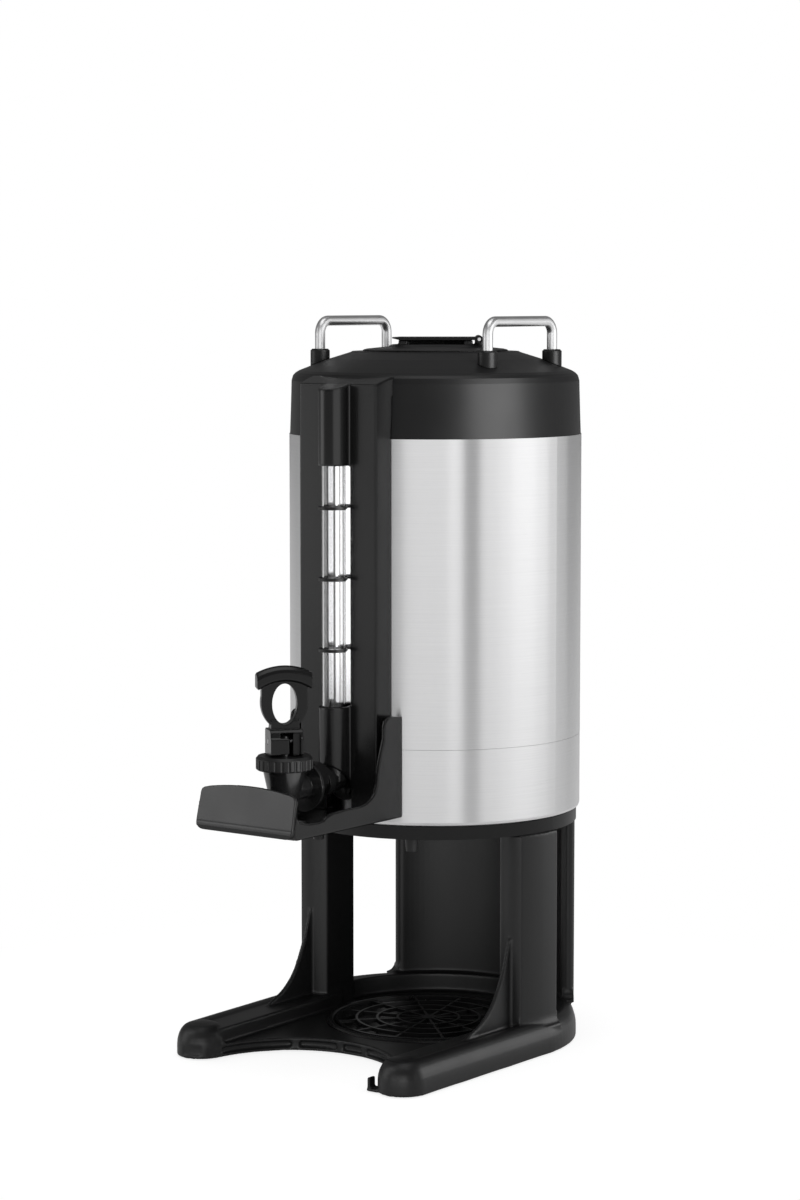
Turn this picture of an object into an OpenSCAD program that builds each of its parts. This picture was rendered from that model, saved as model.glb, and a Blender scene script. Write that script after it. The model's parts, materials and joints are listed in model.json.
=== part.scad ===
// Insulated coffee dispenser: steel tank with a sight gauge and a tap, standing on a moulded stand.
// Millimetres. +Z is up, the tap faces -Y, and the floor is z = 0.

/* [Tank] */
// Radius of the steel tank
tank_r = 115; // [112:0.5:118]
// Height of the steel wall, from the stand's ring to the black collar
steel_h = 295; // [285:1:310]
// Height of the separate lower steel band
band_h = 59; // [50:1:70]
// Thickness of the steel walls
steel_t = 1.2; // [1:0.1:1.5]
// Outside radius of the inner flask
flask_r = 85; // [80:1:90]
// Inside radius of the flask's neck
neck_r = 50; // [48:0.5:52]

/* [Collar and lid] */
// Wall thickness of the black collar
collar_t = 3; // [2.5:0.1:3.5]
// Height of the collar's flat rim above the steel
collar_h = 64.4; // [62:0.2:66]
// Radius of the lid's flange
lid_r = 57; // [56.5:0.1:58]
// How far the lid is turned about the tank axis, degrees
lid_turn = 36.4; // [0:0.1:90]
// Length of the hinged flap on the lid
flap_len = 70; // [64:1:72]
// Width of the hinged flap on the lid
flap_w = 34; // [30:1:38]
// Radius of the flap's hinge pin
flap_pin_r = 1.3; // [1.2:0.05:1.4]

/* [Carrying handles] */
// Distance from the tank axis to each handle
handle_x = 80.6; // [79:0.2:82]
// Half of the distance between a handle's legs
handle_y = 44; // [42:0.5:46]
// Radius of the handle rod
rod_r = 4; // [3.5:0.1:4.5]
// Height of the handle rod's centre line above the steel
handle_top = 88; // [84:0.5:92]
// Centre-line radius of the handle's bends
bend_r = 10; // [8:0.5:12]
// Radius of the black sockets under the handles
socket_r = 7.65; // [7.2:0.05:8]

/* [Sight gauge] */
// Half width of the gauge cover
cover_half = 36.3; // [35.5:0.1:37]
// Distance from the tank axis to the cover's front face
cover_front = 126.5; // [126:0.1:127]
// Wall thickness of the gauge cover
cover_t = 2.6; // [2.2:0.1:3]
// Radius of the sight tube
tube_r = 9.25; // [8.9:0.05:9.4]
// Wall thickness of the sight tube
tube_t = 1.6; // [1.2:0.1:2]
// Distance from the tank axis to the tube's axis
tube_y = 131.5; // [131:0.1:132]
// Radius of the round shrouds above and below the tube
shroud_r = 11.7; // [11.5:0.1:12]
// Height of the lower end of the open window, from the ring
window_low = 92; // [88:1:96]
// Height of the open window on the tube
window_h = 183; // [170:1:190]

/* [Tap] */
// Distance from the tank axis to the tap's upright axis
tap_y = 192.5; // [190:0.5:195]
// Height of the tap's bonnet top above the stand's ring
bonnet_top = 61.4; // [60:0.1:62.5]
// Radius of the knurled bonnet
bonnet_r = 21.25; // [20.5:0.05:22]
// Height of the knurled bonnet
bonnet_h = 10.7; // [10.4:0.1:11.4]
// Radius of the stem
stem_r = 4.6; // [4.2:0.1:4.8]
// Radial clearance of moving round parts
run_fit = 0.06; // [0.04:0.01:0.1]
// Direction the lever's face points, degrees from the front
lever_turn = 50; // [0:1:90]
// Largest tilt of the lever, degrees
lever_tilt = 30; // [25:1:32]
// How far the lever's heel lifts the stem at full tilt
stem_lift = 3.5; // [3:0.1:3.6]
// Radius of the lever's pin
pin_r = 2; // [1.8:0.1:2.2]
// Width of the lever's finger pad
pad_w = 42.2; // [40:0.2:43]

/* [Guard] */
// Half width across the outer faces of the guard's arms
guard_half = 45.6; // [45:0.1:46.5]
// Thickness of the guard's walls
guard_t = 3; // [2.6:0.1:3.2]
// Height of the guard's floor above the stand's ring
guard_low = 7.3; // [7:0.1:7.6]
// Distance from the tank axis to the guard's front wall
guard_front = 238; // [236:0.5:240]
// Half width of the front plate
plate_half = 45.6; // [44.6:0.1:46]

/* [Stand] */
// Height of the stand, from the floor to the top of its ring
stand_h = 184; // [176:1:195]
// Height of the stand's ring
ring_h = 10.3; // [10:0.1:11]
// Outside radius of the stand's ring
ring_r = 112.4; // [111.5:0.1:112.6]
// Radius of the stand's round back at the floor
base_r = 112.4; // [112.2:0.1:113]
// Distance from the middle to each toe
toe_x = 100.8; // [100:0.1:101.6]
// Distance from the tank axis forward to each toe
toe_y = 175; // [168:1:180]
// Radius of the toes
toe_r = 19.5; // [19:0.1:20]
// Height of the legs
leg_h = 25.4; // [25:0.1:26.4]
// Height of the stand's floor plate
plate_h = 10.8; // [10.4:0.1:11.2]
// Radius of the cut-out in front of the floor plate
cutout_r = 83; // [80:0.5:84]
// Distance between the supporting surface and the moulding
foot_gap = 0.5; // [0.5:0.1:0.8]

/* [Drip tray] */
// Radius of the tray's rim
tray_r = 82; // [80:0.5:83]
// Distance from the tank axis forward to the tray's centre
tray_y = 8.5; // [7:0.5:10]
// Radius of the grate
grate_r = 75; // [72:0.5:75.5]
// Width of the grate's bars
bar_w = 2; // [1.6:0.1:2.4]
// Number of radial bars in the grate
bar_count = 12; // [8:1:16]

/* [Hidden] */
$fn = 96;
clear = 0.3;

// Heights measured from the floor
steel_top = stand_h + steel_h;
band_top = stand_h + band_h;
rim_z = steel_top + collar_h;
deck_low = stand_h - ring_h;
deck_t = 2.5;
deck_top = deck_low + deck_t;
base_low = deck_top + clear;

// The tank axis lies behind the middle, so the whole object is centred over its origin
plate_t = 3.4;
front_reach = guard_front + plate_t;
axis_y = (front_reach - tank_r) / 2;

// Collar profile: radius and height of its outside, from the steel to the rim
collar_out = [
    [tank_r - 0.5, steel_top],
    [tank_r - 1.4, steel_top + 26.5],
    [tank_r - 1.8, steel_top + 41.5],
    [tank_r - 3.0, steel_top + 45.6],
    [tank_r - 5.0, steel_top + 47.7],
    [tank_r - 7.8, steel_top + 49.4],
    [tank_r - 16.8, steel_top + 52.9],
    [tank_r - 32.6, steel_top + 58.8],
    [tank_r - 48.3, rim_z - 0.7],
    [tank_r - 49.5, rim_z]
];
mouth_r = neck_r + 4.4;
neck_out = neck_r + steel_t;

// Heights of the flask's floor, of its lower seam and of its shoulder
flask_low = stand_h + 16;
flask_seam = flask_low + 30;
flask_shoulder = steel_top + 18;

// Tap
tap_top = stand_h + bonnet_top;
tap_low = tap_top - bonnet_h;
shank_z = tap_low - 15.5;
spout_z = stand_h + 8.4;
seat_z = tap_low - 23;
pin_z = tap_top + 10.8;
heel = pin_z - tap_top - clear;
heel_rate = stem_lift / (lever_tilt * PI / 180);
lever_low = pin_z - heel;
ring_z = 29.3;
pad_top = 56.7;

// Sight gauge
window_z = stand_h + window_low;
window_top = window_z + window_h;
cover_low = stand_h + guard_low + guard_t;
cover_top = steel_top + 41.4;
screw_x = 30;
screw_y = 119.8;
tube_low = window_z - 13;
tube_top = window_top + 14;

// Guard
guard_z = stand_h + guard_low;
plate_bend = 15.4;

// Stand
post_low = leg_h + 2;
post_in = 85;
post_out = ring_r + 1.6;
post_front = 32;
post_back = 5.4;
fin_x = 98.2;
fin_t = 3;

// Plan of the foot: round sides about a centre in front of the tank axis, and a round back about the axis.
// The legs' outer faces lie a hair inside the toes and the round sides.
side_y = 13;
side_r = toe_x + toe_r;
leg_x = side_r - 0.1;
leg_w = 37.5;
rail_w = 10.6;
rail_low = 9;
sill_z = leg_h;
panel_out = ring_r - 0.4;
panel_in = panel_out - 11;
panel_from = 39.4;
foot_top = foot_gap + 1.6;
peg_x = 45;
peg_rows = [-93, 70];
screw_at = [[98, -13], [-98, -13], [62, 86], [-62, 86]];
screw_r = 2;
tray_floor = 2.6;
tray_wall = grate_r + 1;
tray_hole = tray_wall + 1.8 + clear;
grate_z = plate_h - 1.4;
grate_t = 3;

// Helpers

// Moves a shape drawn about the tank axis to its place in the object
module at_axis() {
    translate([0, axis_y, 0]) children();
}

// Draws a shape and its mirror image across the middle plane
module both_sides() {
    children();
    mirror([1, 0, 0]) children();
}

// A ring with square edges
module ring(r_out, r_in, z0, z1) {
    translate([0, 0, z0]) difference() {
        cylinder(r = r_out, h = z1 - z0);
        translate([0, 0, -1]) cylinder(r = r_in, h = z1 - z0 + 2);
    }
}

// A box given by its two corners
module span(low, high) {
    translate(low) cube(high - low);
}

// A cylinder along Y, from y0 to y1
module rod_y(r, y0, y1, x = 0, z = 0) {
    translate([x, y0, z]) rotate([-90, 0, 0]) cylinder(r = r, h = y1 - y0);
}

// The solid outside form of tank and collar, grown by a gap
module server_form(gap = 0) {
    rotate_extrude() polygon(concat(
        [[0, stand_h - 20], [tank_r + gap, stand_h - 20], [tank_r + gap, steel_top + gap]],
        [for (p = collar_out) [p[0] + gap, p[1] + gap]],
        [[0, rim_z + gap]]
    ));
}

// Stand

// Rounded rail along the outside of the foot, from its crest down to the floor; x runs from the outer edge
function rail(inset) = concat(
    [for (a = [90:-15:0]) [
        -inset - (rail_w - inset) * (1 - cos(a)),
        rail_low + (leg_h - rail_low - inset) * sin(a)
    ]],
    [[-inset, foot_gap + 0.8], [-inset - 0.8, foot_gap - inset]]
);

// Cross-section of a leg: upright inside face, nearly flat top, raised rounded rail outside
module leg_section(inset = 0) {
    polygon(concat(
        [[-leg_w + inset, foot_gap - inset], [-leg_w + inset, leg_h - 4 - inset],
         [-leg_w + 1 + inset, leg_h - 2.9 - inset], [-rail_w - 6, leg_h - 2.1 - inset],
         [-rail_w - 4.6, leg_h - 1.1 - inset], [-rail_w - 2.2, leg_h - 0.2 - inset]],
        rail(inset)
    ));
}

module leg(inset = 0) {
    translate([leg_x, -side_y, 0]) rotate([90, 0, 0]) linear_extrude(toe_y - side_y) leg_section(inset);
}

// Dome-topped toe
module toe(inset = 0) {
    translate([toe_x, -toe_y, 0]) rotate_extrude() polygon(concat(
        [[0, foot_gap - inset]],
        [for (i = [len(rail(inset)) - 1:-1:0]) [toe_r + rail(inset)[i][0], rail(inset)[i][1]]],
        [[toe_r - rail_w - 4, leg_h + 0.7 - inset], [0, leg_h + 0.9 - inset]]
    ));
}

// Round sides and back of the foot, as high as the legs
module wall_section(inset = 0) {
    polygon(concat([[-29, foot_gap - inset], [-29, leg_h - inset]], rail(inset)));
}

module back_wall(inset = 0) {
    difference() {
        union() {
            translate([0, -side_y, 0]) rotate_extrude(angle = 180) translate([side_r, 0]) wall_section(inset);
            rotate_extrude(angle = 180) translate([base_r, 0]) wall_section(inset);
        }
        translate([0, 0, -1]) cylinder(r = 94 + inset, h = 60);
    }
}

// Plan of the floor plate, without its openings
module plate_plan(inset = 0) {
    difference() {
        union() {
            translate([-85 + inset, -toe_y - 4 + inset]) square([170 - 2 * inset, toe_y + 4]);
            circle(r = 96 - inset);
        }
        translate([0, -tap_y]) circle(r = cutout_r + inset);
    }
}

// Plan of a post, with a slightly bowed front
module post_plan(inset = 0) {
    intersection() {
        circle(r = post_out - inset);
        translate([post_in + inset, -post_front - 12])
            square([40, post_front + 12 + post_back - inset]);
        translate([101, 20 - post_front]) circle(r = 25 - inset);
    }
}

// Small hooked tab on the right toe
module toe_tab() {
    span([67, -toe_y - 16, foot_gap], [88, -toe_y - 6, foot_gap + 2.4]);
    span([67, -toe_y - 15, foot_gap], [69.4, -toe_y - 7, 11]);
}

module foot_screw_holes() {
    for (p = screw_at)
        translate([p[0], p[1], 0]) {
            translate([0, 0, -1]) cylinder(r = screw_r + 0.2, h = 60);
            translate([0, 0, -1]) cylinder(r = 4.4, h = 9);
        }
}

module foot_bosses() {
    for (p = screw_at)
        translate([p[0], p[1], foot_gap]) cylinder(r = 7, h = sill_z - foot_gap - 2);
    for (p = pad_at())
        translate([p[0], p[1], foot_gap]) cylinder(r = 11, h = leg_h);
}

function pad_at() = [[toe_x, -toe_y], [-toe_x, -toe_y], [82, 62], [-82, 62]];

module stand_foot() {
    color([0.03, 0.03, 0.032]) at_axis() difference() {
        union() {
            difference() {
                union() {
                    both_sides() {
                        leg();
                        toe();
                    }
                    back_wall();
                    translate([0, 0, foot_gap]) linear_extrude(plate_h - foot_gap) plate_plan();
                }
                both_sides() {
                    leg(3);
                    toe(3);
                }
                back_wall(3);
                translate([0, 0, -1]) linear_extrude(plate_h - 1.6) plate_plan(6);
                // Groove along the front edge of the floor plate
                translate([0, -tap_y, 0]) ring(cutout_r + 3, cutout_r - 1, foot_gap + 2.4, plate_h - 2.6);
            }
            // Ribs across the groove
            for (a = [57, 82, 98, 123])
                translate([0, -tap_y, foot_gap]) rotate([0, 0, a]) translate([cutout_r + 0.2, -3, 0])
                    cube([5, 6, plate_h - foot_gap - 1]);
            intersection() {
                foot_bosses();
                union() {
                    both_sides() {
                        leg();
                        toe();
                    }
                    back_wall();
                }
            }
            // Pedestals that carry the posts
            both_sides() translate([0, 0, foot_gap + 6]) linear_extrude(post_low - foot_gap - 6) post_plan();
            // Low start of the curved ribs
            both_sides() translate([fin_x - fin_t / 2, 0, 0]) rotate([90, 0, 90]) linear_extrude(fin_t)
                polygon([[-99, leg_h - 5], [-97, leg_h - 2.4], [-88, post_low], [-30, post_low],
                         [-30, leg_h - 5]]);
            // Raised edge that carries the drip tray
            translate([0, -tray_y, 0]) ring(tray_r + 3.6, tray_hole, foot_gap + 1, plate_h);
            toe_tab();
        }
        translate([0, -tray_y, -1]) cylinder(r = tray_hole, h = leg_h + 20);
        translate([0, -tray_y, plate_h - 1.6]) cylinder(r = tray_r + 0.6, h = 30);
        foot_screw_holes();
        for (p = pad_at())
            translate([p[0], p[1], -1]) cylinder(r = 9.2, h = foot_top + 1);
        // Shallow seat on the left toe that faces the tab
        translate([-toe_x, -toe_y, 0]) rotate([0, 0, -75]) translate([toe_r - 2, -9, 3.2])
            cube([6, 18, 7.4]);
    }
}

// Thin curved rib from the leg up the front of the post
module post_fin() {
    crest = [[-88, 0], [-78, 3.6], [-72.5, 6.8], [-68, 10], [-63, 14.4], [-58.2, 20.1], [-53.3, 27.6],
             [-49, 35.6], [-46, 42.1], [-43.5, 48.6], [-41.2, 55.6], [-38.5, 63.6], [-36, 68]];
    translate([fin_x - fin_t / 2, 0, post_low]) rotate([90, 0, 90]) linear_extrude(fin_t)
        polygon(concat(crest, [[-30, 68], [-30, 0]]));
}

module post() {
    difference() {
        union() {
            translate([0, 0, post_low]) linear_extrude(deck_low - post_low) post_plan();
            post_fin();
        }
        // Hollow core with a boss for the screws
        difference() {
            translate([0, 0, post_low + 12]) linear_extrude(deck_low - post_low - 24)
                intersection() {
                    circle(r = post_out - 3);
                    translate([post_in + 3, -post_front + 1]) square([40, post_front + post_back - 5]);
                }
            translate([98, -13, 0]) cylinder(r = 5, h = stand_h);
        }
        for (z = [post_low - 1, deck_low - 16])
            translate([98, -13, z]) cylinder(r = screw_r - 0.1, h = 18);
    }
}

module post_right() {
    color([0.03, 0.03, 0.032]) at_axis() post();
}

module post_left() {
    color([0.03, 0.03, 0.032]) at_axis() mirror([1, 0, 0]) post();
}

module back_panel() {
    mid = (panel_out + panel_in) / 2;
    end_r = (panel_out - panel_in) / 2;
    color([0.03, 0.03, 0.032]) at_axis() difference() {
        union() {
            rotate([0, 0, panel_from]) rotate_extrude(angle = 180 - 2 * panel_from)
                translate([panel_in, sill_z]) square([panel_out - panel_in, deck_low - sill_z]);
            for (a = [panel_from, 180 - panel_from])
                rotate([0, 0, a]) translate([mid, 0, sill_z]) cylinder(r = end_r, h = deck_low - sill_z);
        }
        for (p = [screw_at[2], screw_at[3]], z = [sill_z - 1, deck_low - 16])
            translate([p[0], p[1], z]) cylinder(r = screw_r - 0.1, h = 18);
    }
}

module stand_deck() {
    color([0.035, 0.035, 0.038]) at_axis() difference() {
        union() {
            ring(ring_r, ring_r - 2.6, deck_low, stand_h);
            translate([0, 0, deck_low]) cylinder(r = ring_r - 1, h = deck_t);
        }
        for (p = screw_at)
            translate([p[0], p[1], 0]) {
                translate([0, 0, deck_low - 1]) cylinder(r = screw_r + 0.2, h = 10);
                translate([0, 0, deck_top - 1.9]) cylinder(r1 = screw_r, r2 = screw_r + 2, h = 2);
            }
        for (p = pegs())
            translate([p[0], p[1], deck_low - 1]) cylinder(r = 6.2, h = 10);
    }
}

function pegs() = [for (x = [-peg_x, peg_x], y = peg_rows) [x, y]];

module rubber_feet() {
    color([0.05, 0.05, 0.05]) at_axis() for (p = pad_at())
        translate([p[0], p[1], 0]) cylinder(r = 9, h = foot_top);
}

module deck_screws() {
    color([0.6, 0.6, 0.62]) at_axis() for (p = screw_at)
        translate([p[0], p[1], deck_low - 12]) {
            cylinder(r = screw_r - 0.1, h = 12 + deck_t);
            translate([0, 0, 10.1 + deck_t]) cylinder(r1 = screw_r - 0.1, r2 = screw_r + 1.8, h = 1.9);
        }
}

module foot_screws() {
    color([0.6, 0.6, 0.62]) at_axis() for (p = screw_at)
        translate([p[0], p[1], 8]) {
            cylinder(r = screw_r - 0.1, h = post_low);
            translate([0, 0, -2.6]) cylinder(r = 3.8, h = 2.6);
        }
}

module drip_tray() {
    lip = plate_h + 1.6;
    wall = tray_wall;
    color([0.03, 0.03, 0.03]) at_axis() translate([0, -tray_y, 0]) rotate_extrude() polygon([
        [0, tray_floor], [wall + 1.6, tray_floor], [wall + 1.8, plate_h - 1.3], [tray_r, plate_h - 1.3],
        [tray_r, plate_h], [tray_r - 1.4, lip - 0.5], [tray_r - 3, lip], [wall + 1.6, lip - 0.3],
        [wall, lip - 1.2], [wall, grate_z - 0.3], [wall - 3, grate_z - 0.3], [wall - 4, tray_floor + 1.8],
        [0, tray_floor + 1.6]
    ]);
}

module drip_grate() {
    step = (grate_r - bar_w / 2) / 4.5;
    color([0.05, 0.05, 0.052]) at_axis() translate([0, -tray_y, grate_z]) {
        ring(grate_r, grate_r - bar_w, 0, grate_t);
        for (i = [1.5:1:3.5])
            ring(i * step + bar_w / 2, i * step - bar_w / 2, 0, grate_t);
        cylinder(r = 6, h = grate_t);
        for (i = [0:bar_count - 1])
            rotate([0, 0, 15 + i * 360 / bar_count]) translate([4, -bar_w / 2, 0])
                cube([grate_r - 5, bar_w, grate_t - 0.4]);
    }
}

// Tank

module outer_shell() {
    color([0.75, 0.75, 0.76]) at_axis() ring(tank_r, tank_r - steel_t, band_top + 0.2, steel_top);
}

module base_band() {
    r = tank_r - 0.1;
    color([0.72, 0.72, 0.73]) at_axis() difference() {
        rotate_extrude() polygon([
            [r - steel_t, band_top], [r, band_top], [r, stand_h + 3.2], [r - 0.7, stand_h + 1.2],
            [r - 2.4, stand_h + 0.4], [r - 4, stand_h + 0.4], [r - 4, stand_h + 1.6],
            [r - 2.6, stand_h + 1.6], [r - steel_t - 0.5, stand_h + 2.4], [r - steel_t, stand_h + 3.6]
        ]);
        rod_y(7.5, -tank_r - 5, -tank_r + 20, 0, shank_z);
    }
}

module tank_base() {
    color([0.04, 0.04, 0.04]) at_axis() difference() {
        union() {
            translate([0, 0, base_low]) cylinder(r = ring_r - 3, h = 4);
            ring(ring_r - 3, ring_r - 6, base_low, stand_h + 4);
            ring(tank_r - 3, ring_r - 6, stand_h + 1.7, stand_h + 4);
        }
        for (p = pegs())
            translate([p[0], p[1], base_low - 1]) cylinder(r = 3.03, h = 10);
    }
}

module locating_pegs() {
    color([0.05, 0.05, 0.05]) at_axis() for (p = pegs())
        translate([p[0], p[1], 0]) {
            translate([0, 0, base_low - 13]) cylinder(r1 = 4.2, r2 = 5.7, h = 13);
            translate([0, 0, base_low]) cylinder(r = 3, h = 4);
        }
}

module flask_base() {
    color([0.78, 0.78, 0.79]) at_axis() difference() {
        rotate_extrude() polygon([
            [0, flask_low], [flask_r - 12, flask_low], [flask_r - 3.5, flask_low + 3.5],
            [flask_r, flask_low + 12], [flask_r, flask_seam], [flask_r - steel_t, flask_seam],
            [flask_r - steel_t, flask_low + 12], [flask_r - 4.4, flask_low + 4.4],
            [flask_r - 12, flask_low + steel_t], [0, flask_low + steel_t]
        ]);
        rod_y(7.5, -flask_r - 5, -flask_r + 20, 0, shank_z);
    }
}

module flask_wall() {
    color([0.78, 0.78, 0.79]) at_axis() ring(flask_r, flask_r - steel_t, flask_seam, flask_shoulder);
}

module flask_neck() {
    top = rim_z - 1.2;
    low = flask_shoulder;
    color([0.78, 0.78, 0.79]) at_axis() rotate_extrude() polygon([
        [flask_r, low], [flask_r - 6, low + 14], [neck_out + 4, low + 30], [neck_out, low + 36],
        [neck_out, top], [neck_r, top], [neck_r, low + 35.5], [neck_r + 4, low + 29],
        [flask_r - 6.6, low + 13], [flask_r - steel_t, low]
    ]);
}

module top_collar() {
    inside = [for (i = [len(collar_out) - 1:-1:1])
        [collar_out[i][0] - (i < 3 ? collar_t : 0.8), collar_out[i][1] - collar_t]];
    color([0.035, 0.035, 0.037]) at_axis() difference() {
        rotate_extrude() polygon(concat(
            collar_out,
            [[mouth_r, rim_z], [mouth_r, rim_z - 8], [mouth_r + 2.4, rim_z - 8],
             [mouth_r + 2.4, rim_z - collar_t]],
            inside,
            [[collar_out[0][0] - collar_t, steel_top]]
        ));
        for (x = [-handle_x, handle_x], y = [-handle_y, handle_y])
            translate([x, y, steel_top + 30]) cylinder(r = rod_r + 0.2, h = 60);
    }
}

module mouth_gasket() {
    color([0.75, 0.75, 0.72]) at_axis() ring(mouth_r - 0.03, neck_out + 0.03, rim_z - 7, rim_z - 1.4);
}

// Handle rod: two legs, two bends and the grip
module handle_rod() {
    z = steel_top + handle_top;
    low = steel_top + 40;
    translate([handle_x, 0, 0]) {
        for (s = [-1, 1]) {
            translate([0, s * handle_y, low]) cylinder(r = rod_r, h = z - bend_r - low);
            translate([0, s * (handle_y - bend_r), z - bend_r]) rotate([0, 0, s * 90])
                rotate([90, 0, 0]) rotate_extrude(angle = 90) translate([bend_r, 0]) circle(r = rod_r);
        }
        rod_y(rod_r, -handle_y + bend_r, handle_y - bend_r, 0, z);
    }
}

module handle_right() {
    color([0.85, 0.85, 0.85]) at_axis() handle_rod();
}

module handle_left() {
    color([0.85, 0.85, 0.85]) at_axis() mirror([1, 0, 0]) handle_rod();
}

module handle_sockets() {
    top = steel_top + 66;
    color([0.03, 0.03, 0.03]) at_axis() difference() {
        for (x = [-handle_x, handle_x], y = [-handle_y, handle_y])
            translate([x, y, steel_top + 45]) difference() {
                union() {
                    cylinder(r = socket_r, h = top - steel_top - 46);
                    cylinder(r = socket_r - 1, h = top - steel_top - 45);
                }
                translate([0, 0, -1]) cylinder(r = rod_r + 0.05, h = 40);
            }
        server_form(0);
    }
}

module handle_nuts() {
    color([0.6, 0.6, 0.6]) at_axis() for (x = [-handle_x, handle_x], y = [-handle_y, handle_y])
        translate([x, y, steel_top + 43]) difference() {
            cylinder(r = 7, h = 6, $fn = 6);
            translate([0, 0, -1]) cylinder(r = rod_r + 0.02, h = 10);
        }
}

// Sight gauge

// Body of the gauge cover: its top slopes up and its sides spread towards the tank
module cover_block(inset, low, top) {
    half = cover_half - inset;
    front = cover_front - inset;
    intersection() {
        translate([-60, 0, 0]) rotate([90, 0, 90]) linear_extrude(120) polygon([
            [-front, low], [-front, top], [-front + 17.5, top + 5.2], [-100, top + 5.2], [-100, low]
        ]);
        linear_extrude(cover_top + 20) polygon([
            [-half, -front], [half, -front], [half + 1.5, -108], [half + 1.5, -99],
            [-half - 1.5, -99], [-half - 1.5, -108]
        ]);
    }
}

module shroud(z0, z1) {
    translate([0, -tube_y, z0]) cylinder(r = shroud_r, h = z1 - z0);
}

module gauge_cover() {
    color([0.02, 0.02, 0.022]) at_axis() difference() {
        union() {
            cover_block(0, cover_low, cover_top);
            // Upper shroud, its top running on from the slope of the cover
            intersection() {
                shroud(window_top, cover_top + 6);
                translate([-20, 0, 0]) rotate([90, 0, 90]) linear_extrude(40) polygon([
                    [-cover_front - 25, window_top], [-cover_front - 25, cover_top - 6],
                    [-cover_front, cover_top], [-cover_front + 17.5, cover_top + 5.2],
                    [-cover_front + 17.5, window_top]
                ]);
            }
            shroud(stand_h + 26, window_z);
        }
        difference() {
            cover_block(cover_t, cover_low - 1, cover_top - cover_t);
            both_sides() translate([screw_x, -screw_y, cover_low - 1]) cylinder(r = 5, h = 15);
        }
        both_sides() translate([screw_x, -screw_y, cover_low - 1]) cylinder(r = 2.1, h = 12);
        // Tube channel behind the shrouds and open window in front
        translate([0, -tube_y, stand_h + 20]) cylinder(r = shroud_r - 1.6, h = cover_top - stand_h - 28);
        span([-shroud_r, -160, window_z], [shroud_r, -110, window_top]);
        // Opening for the shank in front and room for its nut behind
        translate([-shroud_r - 0.5, 0, 0]) rotate([90, 0, 90]) linear_extrude(2 * shroud_r + 1)
            polygon([[-160, cover_low - 1], [-160, shank_z + 25.7], [-110, shank_z - 12.3],
                     [-110, cover_low - 1]]);
        span([-18, -cover_front + cover_t, cover_low - 1], [18, -110, shank_z + 18.5]);
        server_form(0.3);
    }
}

// Polished sheet behind the tube, folded forward at both sides onto the cover
module gauge_reflector() {
    half = shroud_r + 2;
    back = -tube_y + shroud_r + 1.3;
    color([0.9, 0.9, 0.9]) at_axis() {
        span([-half, back - 1.2, window_z - 6], [half, back, window_top + 6]);
        both_sides() span([half - 1.2, -cover_front + cover_t, window_z - 6],
                          [half, back, window_top + 6]);
    }
}

module gauge_tube() {
    color([0.85, 0.9, 0.9, 0.35]) at_axis() translate([0, -tube_y, 0])
        ring(tube_r, tube_r - tube_t, tube_low, tube_top);
}

module gauge_markers() {
    color([0.02, 0.02, 0.02]) at_axis() for (i = [0:2])
        translate([0, -tube_y, window_z + 42.4 + i * 54]) {
            ring(tube_r + 1.2, tube_r + 0.05, 0, 1.7);
            translate([0, -tube_r - 0.05, 1.7]) rotate([90, 0, 0]) linear_extrude(1)
                polygon([[-1.6, -0.2], [1.6, -0.2], [0, 2]]);
        }
}

module gauge_seals() {
    color([0.7, 0.7, 0.68]) at_axis() translate([0, -tube_y, 0]) {
        ring(tube_r + 0.6, tube_r - tube_t - 1, tube_low - 1.6, tube_low);
        ring(tube_r + 0.6, tube_r - tube_t - 1, tube_top, tube_top + 1.6);
    }
}

// Vented stopper that holds the upper end of the tube inside the cover
module gauge_plug() {
    color([0.05, 0.05, 0.05]) at_axis() translate([0, -tube_y, 0]) difference() {
        translate([0, 0, tube_top + 1.6]) cylinder(r = shroud_r - 1.8, h = 12);
        translate([0, 0, tube_top]) cylinder(r = 2, h = 20);
    }
}

// Tap

// Horizontal passage from the flask to the tap, with an upright socket for the sight tube
module tap_shank() {
    color([0.06, 0.06, 0.06]) at_axis() difference() {
        union() {
            rod_y(7.4, -170, -flask_r + 8, 0, shank_z);
            rod_y(11, -150, -tube_y - shroud_r - 0.2, 0, shank_z);
            translate([0, -tube_y, shank_z]) cylinder(r = shroud_r - 2, h = tube_low - shank_z - 4);
            translate([0, -tube_y, tube_low - 6.6]) cylinder(r = shroud_r - 1.8, h = 5);
            // Sloping web between the socket and the tap
            translate([-9, 0, 0]) rotate([90, 0, 90]) linear_extrude(18)
                polygon([[-166, shank_z], [-166, shank_z + 17], [-160, shank_z + 18],
                         [-tube_y - 6, shank_z + 4], [-tube_y - 6, shank_z]]);
        }
        rod_y(5, -171, -flask_r + 9, 0, shank_z);
        translate([0, -tube_y, shank_z]) cylinder(r = 5, h = 80);
    }
}

module shank_nut() {
    color([0.05, 0.05, 0.05]) at_axis() difference() {
        union() {
            rod_y(17, -tank_r - 5, -tank_r - 2.4, 0, shank_z);
            translate([0, -tank_r - 5, shank_z]) rotate([90, 0, 0]) cylinder(r = 14, h = 3.4, $fn = 6);
        }
        rod_y(7.45, -140, -90, 0, shank_z);
        translate([0, -tube_y, shank_z - 20]) cylinder(r = 10.2, h = 60);
    }
}

module shank_washer() {
    color([0.75, 0.75, 0.72]) at_axis() difference() {
        rod_y(16, -tank_r - 2.4, -tank_r, 0, shank_z);
        rod_y(7.45, -140, -90, 0, shank_z);
    }
}

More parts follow.
